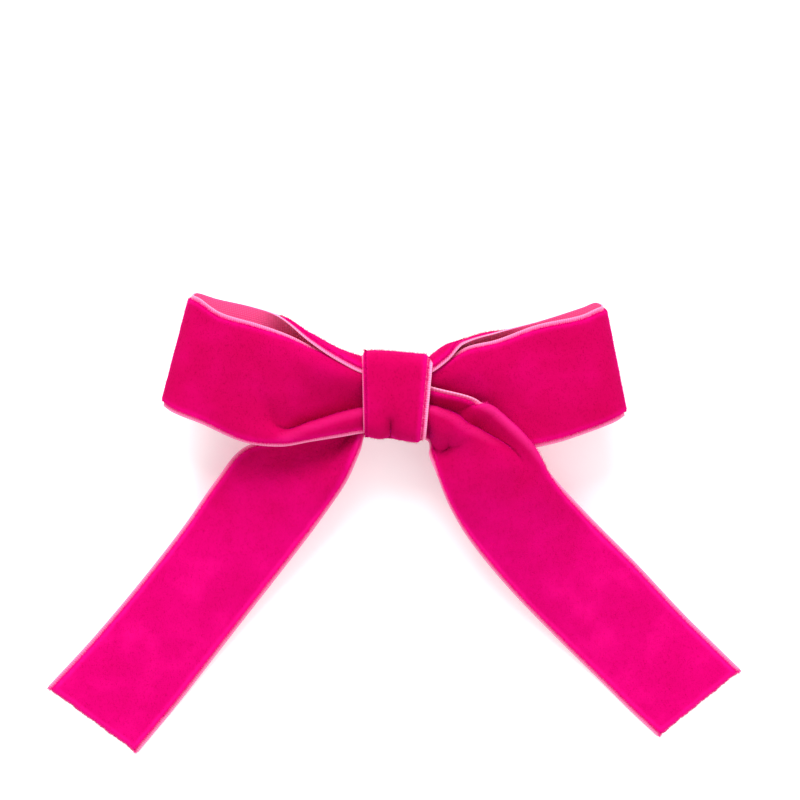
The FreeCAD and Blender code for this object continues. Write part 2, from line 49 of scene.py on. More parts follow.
# stock of the ribbons, in millimetres
RIBBON_WIDTH = 25.0
WRAP_RIBBON_WIDTH = 16.4
SELVEDGE = 1.0            # bare woven edge on each side of the pile
WRAP_BARE = (0.3, 1.3)    # bare edges of the wrap: the left one is curled under, the right one shows
WEAVE = 0.34              # thickness of the ground weave
PILE = 0.8                # height of the cut pile
SIDE_SHOULDER = 0.7       # width over which the pile rounds down to a selvedge
CUT_SHOULDER = 0.9        # length over which it rounds down to a cut end
PILE_UNEVENNESS = 0.10    # how much the pile's height varies, as a share of it
LUMP_SIZE = 1.1           # size of that unevenness
RAGGED_CUT = 0.08         # how uneven the cut ends are, as a share of one step along the ribbon
FULL_HIGHLIGHT_BEND = 2.4     # bend, in radians per millimetre, that gives a ridge its full painted highlight
FULL_SHADE_BEND = 1.2   # bend that gives a crease its full painted shade

# how finely a ribbon is divided, in millimetres
ALONG_STEP = 0.55
ACROSS_STEP = 0.62        # between the two edge zones
EDGE_ZONE = 2.2           # this much at each edge keeps its true width in the pleats
FINE_POINTS = 141         # points across while a cross-section's length is measured

# stray fibres, in millimetres
FIBRES_PER_MM2 = 2.5
FIBRES_PER_SHOULDER_MM = 36.0
FIBRES_PER_CUT_MM = 70.0
SHOULDER_ZONE = (-0.05, 0.4)          # where shoulder fibres are rooted, from the selvedge inwards
CUT_MARGIN = 0.2                      # no cut threads this close to a corner
FIBRE_LENGTHS = (0.3, 0.6)
SHOULDER_LENGTH_SHARES = (0.6, 1.4)   # shoulder fibres vary more, by this factor
CUT_THREAD_LENGTHS = (0.1, 0.9)
FIBRE_RISE = 0.9                      # how far a fibre stands up, as a share of its length
FIBRE_LEAN = 0.45                     # spread of its lean to the sides
FIBRE_TWIST = 0.15                    # spread of the turn of its flat side
FIBRE_HALF_WIDTH = 0.045
CUT_THREAD_WIDENING = 1.6


# ---------------------------------------------------------------- ribbon shapes

def across(low, high, *profile):
    """One cross-section: points (share of the way from the low edge to the high edge, height)."""
    x0, y0 = low
    x1, y1 = high
    return [(x0 + (x1 - x0) * share, y0 + (y1 - y0) * share, z) for share, z in profile]


def plain(low, high, z_low, z_high, crown=0.0):
    """A cross-section with no pleats, slightly crowned."""
    shares = [number / 7 for number in range(8)]
    return across(low, high, *[(s, z_low + (z_high - z_low) * s + 4 * crown * s * (1 - s)) for s in shares])


RIGHT_TAIL = [
    plain((64.0, -83.4), (84.4, -66.9), -11.6, -11.6, 0.1),
    plain((57.8, -77.6), (78.3, -61.0), -11.5, -11.4, 0.5),
    plain((50.2, -70.0), (69.9, -52.7), -11.0, -10.2, 1.0),
    plain((38.8, -58.7), (58.6, -40.7), -8.2, -5.8, 1.3),
    plain((27.4, -46.8), (46.8, -28.9), -3.8, -0.6, 1.3),
    across((17.8, -35.0), (37.2, -18.6),
           (0, 1.0), (0.14, 2.5), (0.3, 4.0), (0.48, 5.2), (0.66, 5.9), (0.82, 6.6), (0.95, 6.3), (1, 5.2)),
    across((12.8, -26.6), (32.0, -11.0),
           (0, 4.0), (0.17, 6.2), (0.4, 8.6), (0.64, 9.9), (0.76, 9.3),
           (0.84, 8.0), (0.97, 9.6), (0.985, 7.4)),
    across((9.8, -19.2), (24.2, -3.6),
           (0, 5.0), (0.17, 6.6), (0.36, 8.4), (0.54, 10.6), (0.67, 11.0),
           (0.71, 5.8), (0.96, 10.4), (0.985, 8.2)),
    across((8.7, -16.6), (21.4, -1.7),
           (0, 5.2), (0.17, 4.8), (0.32, 5.8), (0.45, 10.4), (0.62, 11.6),
           (0.665, 5.6), (0.93, 10.4), (0.99, 9.0)),
    across((7.8, -14.0), (17.4, 0.3),
           (0, 5.4), (0.15, 4.4), (0.32, 9.6), (0.48, 11.6), (0.62, 11.7),
           (0.655, 5.4), (0.8, 5.6), (0.99, 9.8)),
    across((7.4, -10.6), (8.2, 2.5),
           (0, 4.8), (0.16, 6.0), (0.34, 9.6), (0.5, 10.6), (0.6, 10.3), (0.63, 5.8), (0.8, 7.4), (1, 10.2)),
]

FRONT_OF_PINCH = [
    across((0, -8.8), (0, 6.2),
           (0, 6.2), (0.17, 8.4), (0.33, 9.0), (0.43, 6.6), (0.56, 8.7), (0.76, 9.2), (0.9, 8.9), (1, 8.2)),
]

LEFT_LOOP = [
    across((-7.4, -8.6), (-7.4, 7.6),
           (0, 7.0), (0.12, 7.9), (0.24, 9.2), (0.33, 8.6), (0.35, 4.8), (0.46, 6.2), (0.8, 9.8), (1, 7.9)),
    across((-13.5, -9.6), (-13.0, 9.2),
           (0, 8.1), (0.08, 8.5), (0.18, 9.6), (0.26, 9.2), (0.285, 3.8), (0.4, 5.4), (0.8, 10.9), (1, 8.8)),
    across((-20.8, -10.7), (-19.5, 11.7),
           (0, 7.9), (0.05, 8.5), (0.11, 9.3), (0.165, 8.9), (0.195, 3.6),
           (0.33, 5.8), (0.8, 11.5), (1, 10.0)),
    across((-28.3, -11.9), (-26.0, 14.9),
           (0, 8.0), (0.04, 8.5), (0.075, 8.8), (0.11, 8.3), (0.17, 6.2),
           (0.42, 9.2), (0.82, 11.6), (1, 10.5)),
    across((-37.4, -10.8), (-33.4, 17.6),
           (0, 7.9), (0.06, 8.8), (0.13, 9.1), (0.24, 9.2), (0.43, 9.9),
           (0.66, 10.9), (0.86, 11.3), (1, 10.8)),
    plain((-47.6, -6.4), (-42.8, 20.5), 7.8, 9.9, 0.4),
    plain((-54.2, -3.8), (-47.8, 23.9), 7.2, 8.4, 0.1),
    plain((-56.6, -2.1), (-49.5, 24.8), 5.2, 5.9),
    plain((-55.0, -2.8), (-48.4, 25.3), 2.6, 3.6, -0.1),
    plain((-48.6, -5.4), (-43.8, 23.9), 1.6, 2.6, -0.4),
    plain((-38.6, -9.0), (-34.8, 21.8), 1.2, 4.6, -0.8),
    across((-29.2, -10.4), (-28.0, 19.2),
           (0, 1.8), (0.2, 1.4), (0.4, 1.1), (0.6, 1.3), (0.8, 2.6), (0.92, 5.0), (0.98, 7.2), (1, 9.0)),
    across((-22.0, -9.8), (-21.2, 13.8),
           (0, 1.7), (0.25, 1.6), (0.5, 1.3), (0.8, 1.8), (0.98, 3.8),
           (1.03, 6.4), (1.03, 9.6), (0.99, 11.8)),
    across((-15.0, -8.6), (-14.6, 9.2),
           (0, 2.2), (0.25, 2.1), (0.5, 1.9), (0.8, 2.2), (1.02, 3.9),
           (1.1, 7.2), (1.08, 10.2), (0.99, 12.0)),
    across((-7.4, -7.8), (-7.4, 5.6),
           (0, 3.4), (0.3, 2.9), (0.65, 2.8), (0.98, 3.1), (1.18, 4.6),
           (1.23, 7.4), (1.16, 10.0), (0.99, 11.0)),
]

BACK_OF_PINCH = [
    across((0, -7.4), (0, 5.2),
           (0, 4.0), (0.3, 3.4), (0.65, 3.3), (0.96, 3.6), (1.14, 4.8), (1.2, 6.8), (1.12, 8.6), (0.98, 9.1)),
]

RIGHT_LOOP = [
    across((7.4, -7.6), (7.4, 5.6),
           (0, 3.4), (0.3, 2.9), (0.65, 2.8), (0.98, 3.1), (1.18, 4.6), (1.24, 7.2), (1.17, 9.6), (1, 10.6)),
    across((12.4, -8.6), (12.2, 8.8),
           (0, 2.7), (0.3, 2.0), (0.65, 1.9), (0.95, 2.5), (1.12, 4.4), (1.18, 7.0), (1.12, 9.4), (1, 10.6)),
    across((17.0, -10.0), (16.0, 12.9),
           (0, 2.4), (0.3, 1.6), (0.6, 1.4), (0.85, 3.2), (0.96, 6.0), (1.0, 7.8), (1.015, 9.0), (1, 10.0)),
    across((25.6, -11.6), (24.4, 15.7),
           (0, 2.0), (0.2, 1.4), (0.4, 1.1), (0.6, 1.3), (0.8, 2.6), (0.92, 4.8), (0.98, 6.8), (1, 8.4)),
    plain((37.6, -10.9), (34.8, 18.5), 1.2, 4.6, -0.8),
    plain((48.4, -7.7), (45.0, 21.8), 1.6, 2.8, -0.3),
    plain((53.4, -5.8), (48.2, 23.0), 2.4, 3.4),
    plain((55.1, -4.5), (49.8, 22.2), 5.0, 5.6),
    plain((53.0, -5.9), (48.2, 21.4), 7.2, 8.0),
    plain((47.6, -8.1), (44.2, 19.7), 8.0, 9.2, 0.2),
    plain((37.0, -11.5), (33.6, 17.4), 7.9, 9.9, 0.5),
    across((27.0, -12.9), (24.2, 13.9),
           (0, 6.0), (0.16, 6.0), (0.3, 6.4), (0.44, 7.6), (0.58, 9.0), (0.75, 9.9), (0.9, 10.0), (1, 9.5)),
    across((18.0, -11.6), (16.8, 12.1),
           (0, 3.4), (0.16, 3.3), (0.3, 3.5), (0.44, 4.4), (0.58, 7.0), (0.75, 9.2), (0.9, 9.4), (1, 8.9)),
    across((12.3, -9.8), (12.0, 9.1),
           (0, 3.3), (0.16, 3.0), (0.3, 3.0), (0.44, 3.5), (0.6, 6.0), (0.78, 8.6), (0.92, 8.9), (1, 8.4)),
    across((7.4, -8.0), (7.4, 6.4),
           (0, 3.9), (0.18, 3.8), (0.34, 3.5), (0.5, 4.0), (0.64, 5.6), (0.78, 7.6), (0.92, 8.2), (1, 7.4)),
]

MIDDLE_OF_PINCH = [
    across((0, -8.0), (0, 4.0),
           (0, 4.8), (0.18, 5.6), (0.34, 4.9), (0.5, 5.8), (0.66, 5.0), (0.8, 6.0), (0.92, 5.6), (1, 5.2)),
]

LEFT_TAIL = [
    across((-7.4, -8.8), (-7.4, -1.6),
           (0, 4.2), (0.16, 4.8), (0.32, 4.0), (0.48, 4.6), (0.62, 3.9), (0.76, 4.4), (0.9, 3.8), (1, 4.2)),
    across((-9.0, -13.2), (-14.0, -5.8),
           (0, 4.4), (0.16, 4.9), (0.3, 4.2), (0.44, 3.0), (0.6, 2.8), (0.75, 3.2), (0.88, 3.3), (1, 3.6)),
    across((-12.2, -20.4), (-25.4, -9.4),
           (0, 2.2), (0.12, 2.8), (0.26, 2.4), (0.42, 1.2), (0.58, 0.2), (0.74, 0.4), (0.88, 1.6), (1, 2.6)),
    across((-17.0, -27.6), (-37.2, -12.2),
           (0, -0.9), (0.14, 0.1), (0.28, 0.0), (0.43, -0.5), (0.57, -1.4),
           (0.72, -1.6), (0.86, -1.0), (1, -1.4)),
    plain((-23.0, -35.8), (-44.3, -20.3), -3.6, -4.4, 1.2),
    plain((-31.4, -46.6), (-52.0, -31.2), -6.8, -7.2, 1.2),
    plain((-42.8, -61.2), (-62.8, -45.0), -9.8, -9.9, 1.0),
    plain((-54.0, -75.6), (-74.8, -59.2), -11.4, -11.4, 0.5),
    plain((-63.8, -87.4), (-85.9, -71.2), -11.6, -11.6, 0.1),
]


# ---------------------------------------------------------------- materials

def linear(code):
    """An sRGB hex colour as linear RGBA."""
    channels = [int(code[start:start + 2], 16) / 255 for start in (1, 3, 5)]
    return [c / 12.92 if c <= 0.04045 else ((c + 0.055) / 1.055) ** 2.4 for c in channels] + [1.0]


def add_node(material, kind, links=None, **settings):
    """Adds a node. Settings are its properties or the values of its inputs; links feed its inputs."""
    node = material.node_tree.nodes.new(kind)
    for name, value in settings.items():
        if name in node.bl_rna.properties and name not in ("name", "label"):
            setattr(node, name, value)
        else:
            node.inputs[name.replace("_", " ")].default_value = value
    for name, source in (links or {}).items():
        target = node.inputs[name] if isinstance(name, int) else node.inputs[name.replace("_", " ")]
        material.node_tree.links.new(source, target)
    return node


def new_material(name):
    material = bpy.data.materials.new(name)
    material.use_nodes = True
    material.node_tree.nodes.clear()
    return material


def finish_material(material, surface):
    output = add_node(material, "ShaderNodeOutputMaterial")
    material.node_tree.links.new(surface.outputs[0], output.inputs["Surface"])
    return material


def object_place(material):
    return add_node(material, "ShaderNodeTexCoord").outputs["Object"]


def noise(material, place, scale, detail):
    return add_node(
        material, "ShaderNodeTexNoise", {"Vector": place}, Scale=scale, Detail=detail).outputs["Fac"]


def mapped(material, value, start, end, to_start, to_end, **settings):
    """A value brought from one range into another, and kept inside it."""
    return add_node(
        material, "ShaderNodeMapRange", {"Value": value},
        From_Min=start, From_Max=end, To_Min=to_start, To_Max=to_end, **settings).outputs[0]


def stored(material, name):
    """A number that the mesh keeps for each vertex."""
    return add_node(material, "ShaderNodeAttribute", attribute_name=name).outputs["Fac"]


def combine(material, operation, first, second):
    return add_node(material, "ShaderNodeMath", {0: first, 1: second}, operation=operation).outputs[0]


def ramp(material, factor, *stops):
    """A colour that runs through the stops: pairs of place and hex colour."""
    node = add_node(material, "ShaderNodeValToRGB", {"Fac": factor})
    elements = node.color_ramp.elements
    while len(elements) < len(stops):
        elements.new(1.0)
    for element, (place, code) in zip(elements, stops):
        element.position = place
        element.color = linear(code)
    return node.outputs["Color"]


def tinted(material, colour, factor, code):
    """A colour mixed with a hex colour; a Mix node's colours are its inputs 6 and 7 and its output 2."""
    mix = add_node(material, "ShaderNodeMix", {"Factor": factor, 6: colour}, data_type="RGBA")
    mix.inputs[7].default_value = linear(code)
    return mix.outputs[2]


def bumps(material, height, strength, distance):
    bump = add_node(material, "ShaderNodeBump", {"Height": height}, Strength=strength, Distance=distance)
    return bump.outputs["Normal"]


def ribs_across(material, place, direction, spacing, **settings):
    """Waves this far apart, in metres; a wave texture has 20 radians to its unit of scale."""
    return add_node(
        material, "ShaderNodeTexWave", {"Vector": place},
        bands_direction=direction, Scale=2 * math.pi / spacing / 20, **settings).outputs["Fac"]


def make_velvet():
    """Rayon cut-pile velvet: deep where one looks into the pile, glowing where it leans away.
    Soft clouds show where the pile was stroked. The tails are painted brighter, a painted light for
    their flat, unshadowed lie, and the pile along its edges is painted brighter too, a painted sheen.
    Ridges get a paler painted highlight, and creases a much darker painted shade."""
    material = new_material("rayon_velvet_pile")
    place = object_place(material)
    clouds = mapped(material, noise(material, place, 110.0, 3.0), 0.0, 1.0, 0.29, 0.71)
    tufts = noise(material, place, 2600.0, 1.0)
    up_the_bow = add_node(material, "ShaderNodeSeparateXYZ", {"Vector": place}).outputs["Y"]
    # painted light: the tails are painted brighter than the loops and pinch, for the light they get lying
    # flat and unshadowed
    tails_painted_light = mapped(material, up_the_bow, -0.012, -0.04, 0.0, 0.3)
    # painted sheen: the pile is painted brighter towards its edges, for the glow of velvet sheen on its
    # shoulders
    edge_painted_sheen = mapped(
        material, stored(material, "from_pile_edge"), 1.7, 0.2, 0.0, 0.34, interpolation_type="SMOOTHSTEP")
    # random mottling of the pile, plus the painted light of the tails and the painted sheen of the edges
    mottle_and_painted_light = combine(material, "ADD", combine(material, "ADD", clouds, tails_painted_light), edge_painted_sheen)
    colour = ramp(material, mottle_and_painted_light, (0.2, "#a80038"), (0.5, "#bc0050"), (0.8, "#d2006a"), (1.0, "#ec0880"))
    ridge_crease_paint = stored(material, "ridge_highlight_crease_shade")
    # painted highlight: ridges are painted paler pink
    colour = tinted(material, colour, mapped(material, ridge_crease_paint, 0.2, 1.0, 0.0, 0.55), "#f4369a")
    # painted shade: creases are painted much darker
    colour = tinted(material, colour, mapped(material, ridge_crease_paint, -0.15, -0.8, 0.0, 0.7), "#5c0016")
    shader = add_node(
        material, "ShaderNodeBsdfPrincipled",
        {"Base_Color": colour, "Normal": bumps(material, tufts, 0.3, 0.0002)},
        Roughness=0.95, Specular_IOR_Level=0.04, Sheen_Weight=1.0, Sheen_Roughness=0.32,
        Sheen_Tint=linear("#ff00b4"))
    return finish_material(material, shader)


def make_selvedge():
    """The ribbon's bare edge, lighter than the pile, with painted light making it paler outwards, as if lit
    through its thin edge: weft loops every half millimetre.
    """
    material = new_material("woven_selvedge")
    place = add_node(material, "ShaderNodeUVMap", uv_map="ribbon").outputs["UV"]
    ribs = ribs_across(material, place, "X", 0.00055, wave_profile="SIN")
    # painted light: the selvedge is painted paler towards its outer edge, for light shining through it
    edge_painted_glow = mapped(material, stored(material, "from_pile_edge"), -0.1, -1.0, 0.0, 0.6)
    shade = add_node(material, "ShaderNodeMath", {0: ribs, 2: edge_painted_glow}, operation="MULTIPLY_ADD")
    shade.inputs[1].default_value = 0.3
    colour = ramp(material, shade.outputs[0], (0.0, "#ea4888"), (0.5, "#f670a8"), (1.0, "#ffa6cc"))
    shader = add_node(
        material, "ShaderNodeBsdfPrincipled",
        {"Base_Color": colour, "Normal": bumps(material, ribs, 0.5, 0.0001)},
        Roughness=0.6, Specular_IOR_Level=0.3, Sheen_Weight=0.3, Sheen_Roughness=0.4)
    return finish_material(material, shader)


def make_woven_back():
    """The back of the ribbon: a tight plain weave, with threads 0.4 and 0.5 mm apart."""
    material = new_material("woven_ribbon_back")
    place = add_node(material, "ShaderNodeUVMap", uv_map="ribbon").outputs["UV"]
    warp = ribs_across(material, place, "Y", 0.0004)
    weft = ribs_across(material, place, "X", 0.0005)
    threads = combine(material, "MULTIPLY", warp, weft)
    shader = add_node(
        material, "ShaderNodeBsdfPrincipled",
        {"Base_Color": ramp(material, threads, (0.0, "#e83c82"), (1.0, "#f6649f")),
         "Normal": bumps(material, threads, 0.5, 0.00012)},
        Roughness=0.65, Specular_IOR_Level=0.3, Sheen_Weight=0.25)
    return finish_material(material, shader)


def make_metal(name, tint, roughness):
    """Drawn or stamped steel, plated or bare: a faintly warm grey metal with fine drawing lines along X
    and a gloss that varies a little with handling."""
    material = new_material(name)
    place = object_place(material)
    stretch = add_node(material, "ShaderNodeMapping", {"Vector": place}, Scale=(0.08, 1.0, 1.0)).outputs[0]
    lines = noise(material, stretch, 9000.0, 2.0)
    smudges = noise(material, place, 180.0, 3.0)
    rough = mapped(material, smudges, 0.0, 1.0, roughness * 0.75, roughness * 1.35)
    shader = add_node(
        material, "ShaderNodeBsdfPrincipled",
        {"Roughness": rough, "Normal": bumps(material, lines, 0.12, 0.00005)},
        Base_Color=linear(tint), Metallic=1.0)
    return finish_material(material, shader)


def make_sewing_thread():
    """Spun polyester thread: matt, with its fibres as a fine unevenness."""
    material = new_material("spun_polyester_thread")
    plies = noise(material, object_place(material), 5000.0, 1.0)
    shader = add_node(
        material, "ShaderNodeBsdfPrincipled", {"Normal": bumps(material, plies, 0.5, 0.0001)},
        Base_Color=linear("#d8106a"), Roughness=0.7, Sheen_Weight=0.3)
    return finish_material(material, shader)


def make_hot_melt():
    """Clear hot-melt glue: milky, glossy, slightly uneven."""
    material = new_material("hot_melt_glue")
    ripples = noise(material, object_place(material), 600.0, 2.0)
    shader = add_node(
        material, "ShaderNodeBsdfPrincipled", {"Normal": bumps(material, ripples, 0.3, 0.0003)},
        Base_Color=linear("#efe6d2"), Roughness=0.25, Transmission_Weight=0.45, IOR=1.48)
    return finish_material(material, shader)


velvet = make_velvet()
selvedge = make_selvedge()
woven_back = make_woven_back()


# ---------------------------------------------------------------- ribbon surfaces

def spline_weights(knots, places):
    """Rows of weights that blend control rows smoothly; knots are their distances along the ribbon."""
    weights = np.zeros((len(places), len(knots)))
    last = len(knots) - 1
    for number, place in enumerate(places):
        left = int(np.clip(np.searchsorted(knots, place, side="right") - 1, 0, last - 1))
        span = knots[left + 1] - knots[left]
        t = (place - knots[left]) / span
        weights[number, left] += 2 * t**3 - 3 * t**2 + 1
        weights[number, left + 1] += 3 * t**2 - 2 * t**3
        for end, share in ((left, t**3 - 2 * t**2 + t), (left + 1, t**3 - t**2)):
            before = max(end - 1, 0)
            after = min(end + 1, last)
            slope = share * span / (knots[after] - knots[before])
            weights[number, after] += slope
            weights[number, before] -= slope
    return weights


def running_length(steps):
    """Distances from the start, for steps from each place to the next."""
    return np.concatenate([[0], np.cumsum(steps)])


def places_across(width):
    """Places of the points across a ribbon: crowded where the pile starts, even between."""
    edge = np.array([0.0, 0.3, 0.6, 0.8, SELVEDGE, 1.05, 1.15, 1.35, 1.7, EDGE_ZONE])
    count = int((width - 2 * EDGE_ZONE) / ACROSS_STEP) + 2
    middle = np.linspace(EDGE_ZONE, width - EDGE_ZONE, count)[1:-1]
    return np.concatenate([edge, middle, (width - edge)[::-1]])


def weave_surface(rows, width):
    """A dense grid of points on the ribbon's weave, with its distances along and across."""
    control = np.array(rows, float)
    steps = np.linalg.norm(np.diff(control, axis=0), axis=2).mean(axis=1)
    knots = running_length(steps)
    places = np.linspace(0, knots[-1], int(knots[-1] / ALONG_STEP) + 1)
    control = np.einsum("pr,rck->pck", spline_weights(knots, places), control)

    across_weights = spline_weights(np.arange(8.0), np.linspace(0, 7, FINE_POINTS))
    fine = np.einsum("sc,pck->psk", across_weights, control)
    sideways = places_across(width)
    points = np.empty((len(fine), len(sideways), 3))
    for number, line in enumerate(fine):
        reach = running_length(np.linalg.norm(np.diff(line, axis=0), axis=1))
        stock = [0, EDGE_ZONE, width - EDGE_ZONE, width]
        real = [0, EDGE_ZONE, reach[-1] - EDGE_ZONE, reach[-1]]
        spots = np.interp(sideways, stock, real)
        for axis in range(3):
            points[number, :, axis] = np.interp(spots, reach, line[:, axis])
    along = running_length(np.linalg.norm(np.diff(points, axis=0), axis=2).mean(axis=1))
    return points, along, sideways


def fray(points, sideways):
    """Makes the two cut ends slightly uneven."""
    waves = np.sin(2.1 * sideways) + np.sin(5.3 * sideways + 1) + np.sin(0.9 * sideways + 2)
    ragged = (RAGGED_CUT * waves)[:, None]
    points[0] += ragged * (points[1] - points[0])
    points[-1] += ragged[::-1] * (points[-2] - points[-1])


def normals_of(points):
    """Unit normals of a grid of points."""
    normal = np.cross(np.gradient(points, axis=0), np.gradient(points, axis=1))
    return normal / np.maximum(np.linalg.norm(normal, axis=2, keepdims=True), 1e-9)


def rounded(distance, width):
    """Height of a rounded shoulder, 0 to 1, at a distance in from where the pile starts."""
    inside = np.clip(distance / width, 0, 1)
    return np.sqrt(1 - (1 - inside) ** 2)


def unevenness(points):
    """Smooth random lumps between -1 and 1, the same on every run, as in pile that has been handled."""
    random = np.random.default_rng(3)
    total = np.zeros(points.shape[:2])
    for _ in range(9):
        direction = random.normal(size=3) / LUMP_SIZE
        total += np.sin(points @ direction + random.uniform(0, 2 * math.pi))
    return total / 9


def pile_height(points, along, sideways, width, bare, crushed):
    """Height of the pile above the weave: none on the bare edges, low where it is crushed."""
    from_sides = np.minimum(sideways - bare[0], width - bare[1] - sideways)
    from_cuts = np.minimum(along, along[-1] - along)
    height = PILE * rounded(from_sides, SIDE_SHOULDER) * rounded(from_cuts, CUT_SHOULDER)[:, None]
    return height * (1 - crushed(points)) * (1 + PILE_UNEVENNESS * unevenness(points))


def ridge_highlight_crease_shade(points, normal):
    """How much painted highlight a ridge gets, up to 1, and painted shade a crease gets, down to -1, from how
    sharply the surface bends.
    """
    sharpest = np.zeros(points.shape[:2])
    for axis in (0, 1):
        step = np.gradient(points, axis=axis)
        turn = np.sum(np.gradient(normal, axis=axis) * step, axis=2)
        bend = turn / np.maximum(np.sum(step**2, axis=2), 1e-6)
        sharpest = np.where(abs(bend) > abs(sharpest), bend, sharpest)
    share = np.where(sharpest > 0, sharpest / FULL_HIGHLIGHT_BEND, sharpest / FULL_SHADE_BEND)
    return np.clip(share, -1, 1)


def ribbon_faces(count_along, count_across):
    """Faces of the front and back grids, and of the four rims that join them."""
    index = np.arange(count_along * count_across).reshape(count_along, count_across)
    shift = count_along * count_across
    corners = (index[:-1, :-1], index[1:, :-1], index[1:, 1:], index[:-1, 1:])
    front = np.stack([corner.ravel() for corner in corners], axis=1)
    back = front[:, ::-1] + shift
    rims = []
    for line, flip in ((index[:, 0], True), (index[:, -1], False), (index[0], False), (index[-1], True)):
        strip = np.stack([line[:-1], line[1:], line[1:] + shift, line[:-1] + shift], axis=1)
        rims.append(strip[:, ::-1] if flip else strip)
    return front, back, np.concatenate(rims)


def store(mesh, name, values):
    """Keeps one number for each vertex, for the materials."""
    attribute = mesh.attributes.new(name, "FLOAT", "POINT")
    attribute.data.foreach_set("value", values.astype(np.float32))


def store_pile(mesh, places, width, length, bare, ridge_crease_paint):
    """Keeps for each vertex its place on the flat ribbon as a UV map in metres, how far it is from
    where the pile ends in millimetres, and its share of the painted ridge highlight and crease shade."""
    loops = np.zeros(len(mesh.loops), np.int32)
    mesh.loops.foreach_get("vertex_index", loops)
    layer = mesh.uv_layers.new(name="ribbon")
    layer.data.foreach_set("uv", (places[loops] * MM).astype(np.float32).ravel())
    onward = places[:, 0]
    sideways = places[:, 1]
    from_sides = np.minimum(sideways - bare[0], width - bare[1] - sideways)
    from_cuts = np.minimum(onward, length - onward)
    store(mesh, "from_pile_edge", np.minimum(from_sides, from_cuts))
    store(mesh, "ridge_highlight_crease_shade", ridge_crease_paint)


def link_piece(name, mesh):
    piece = bpy.data.objects.new(name, mesh)
    bpy.context.scene.collection.objects.link(piece)
    return piece


def make_ribbon(name, rows, width, crushed, bare):
    """A closed velvet ribbon with its stray fibres: pile on the outer side, woven back, bare selvedges."""
    points, along, sideways = weave_surface(rows, width)
    fray(points, sideways)
    normal = -normals_of(points)
    height = pile_height(points, along, sideways, width, bare, crushed)
    front = points + normal * (WEAVE / 2 + height)[..., None]
    back = points - normal * (WEAVE / 2)
    vertices = np.concatenate([front.reshape(-1, 3), back.reshape(-1, 3)]) * MM

    front_faces, back_faces, rim_faces = ribbon_faces(len(along), len(sideways))
    faces = np.concatenate([front_faces, back_faces, rim_faces])[:, ::-1]
    mesh = bpy.data.meshes.new(name)
    mesh.from_pydata(vertices.tolist(), [], faces.tolist())
    for material in (velvet, selvedge, woven_back):
        mesh.materials.append(material)
    bare_cells = (sideways[:-1] < bare[0] - 0.01) | (width - sideways[1:] < bare[1] - 0.01)
    front_slots = np.tile(np.where(bare_cells, 1, 0), len(along) - 1)
    slots = np.concatenate([front_slots, np.full(len(back_faces), 2), np.full(len(rim_faces), 1)])
    mesh.polygons.foreach_set("material_index", slots.astype(np.int32))
    smooth_count = len(front_faces) + len(back_faces)
    mesh.polygons.foreach_set("use_smooth", np.arange(len(faces)) < smooth_count)

    places = np.stack(np.broadcast_arrays(along[:, None], sideways[None, :]), axis=2).reshape(-1, 2)
    places = np.concatenate([places, places])
    # painted ridge highlight and crease shade, from how sharply the surface bends
    ridge_crease_paint = ridge_highlight_crease_shade(points, normal)
    ridge_crease_paints = np.concatenate([ridge_crease_paint.ravel(), np.zeros(ridge_crease_paint.size)])
    store_pile(mesh, places, width, along[-1], bare, ridge_crease_paints)
    mesh.validate()
    piece = link_piece(name, mesh)
    fibres = make_fibres(name + "_fibres", front, normal, sideways, width, bare, ridge_crease_paint)
    return piece, along[-1], fibres


def unit(vectors):
    return vectors / np.linalg.norm(vectors, axis=-1, keepdims=True)


def scatter(random, count_along, width):
    """Where stray fibres are rooted: all over the pile, more on its shoulders, and along both cuts.
    Gives their rows and places across, and which of them are on the shoulders and on the cuts."""
    last_row = count_along - 1.001
    length = count_along * ALONG_STEP
    field_count = int(length * width * FIBRES_PER_MM2)
    shoulder_count = int(length * 2 * FIBRES_PER_SHOULDER_MM)
    cut_count = int(2 * width * FIBRES_PER_CUT_MM)
    row = np.concatenate([
        random.uniform(0, last_row, field_count + shoulder_count),
        random.choice([0.0, last_row], cut_count)])
    shoulder = SELVEDGE + random.uniform(*SHOULDER_ZONE, shoulder_count)
    place = np.concatenate([
        random.uniform(SELVEDGE, width - SELVEDGE, field_count),
        np.where(random.random(shoulder_count) < 0.5, shoulder, width - shoulder),
        random.uniform(CUT_MARGIN, width - CUT_MARGIN, cut_count)])
    shoulders = slice(field_count, field_count + shoulder_count)
    cuts = slice(field_count + shoulder_count, None)
    return row, place, shoulders, cuts


def sample(grid, row, column):
    """A grid's values between its points, at fractions of rows and columns."""
    i = row.astype(int)
    j = np.minimum(column.astype(int), grid.shape[1] - 2)
    u = (row - i)[:, None]
    v = (column - j)[:, None]
    near = grid[i, j] * (1 - u) + grid[i + 1, j] * u
    far = grid[i, j + 1] * (1 - u) + grid[i + 1, j + 1] * u
    return near * (1 - v) + far * v


def fibre_reaches(random, row, at_low_edge, shoulders, cuts, up, outward, ahead):
    """From each root to its tip: outwards over the selvedges, and off the ribbon at its cuts."""
    lean_out = random.normal(0, FIBRE_LEAN, len(row))
    lean_out[shoulders] = np.where(at_low_edge[shoulders], -1.0, 1.0)
    lean_on = random.normal(0, FIBRE_LEAN, len(row))
    length = random.uniform(*FIBRE_LENGTHS, len(row))
    length[shoulders] *= random.uniform(*SHOULDER_LENGTH_SHARES, len(length[shoulders]))
    length[cuts] = random.uniform(*CUT_THREAD_LENGTHS, len(length[cuts]))
    reach = up * FIBRE_RISE + outward * lean_out[:, None] + np.cross(up, outward) * lean_on[:, None]
    off_the_end = ahead[cuts] * np.where(row[cuts] < 1, -1.0, 1.0)[:, None]
    reach[cuts] = off_the_end + outward[cuts] * lean_out[cuts, None] / 2
    return reach * length[:, None]


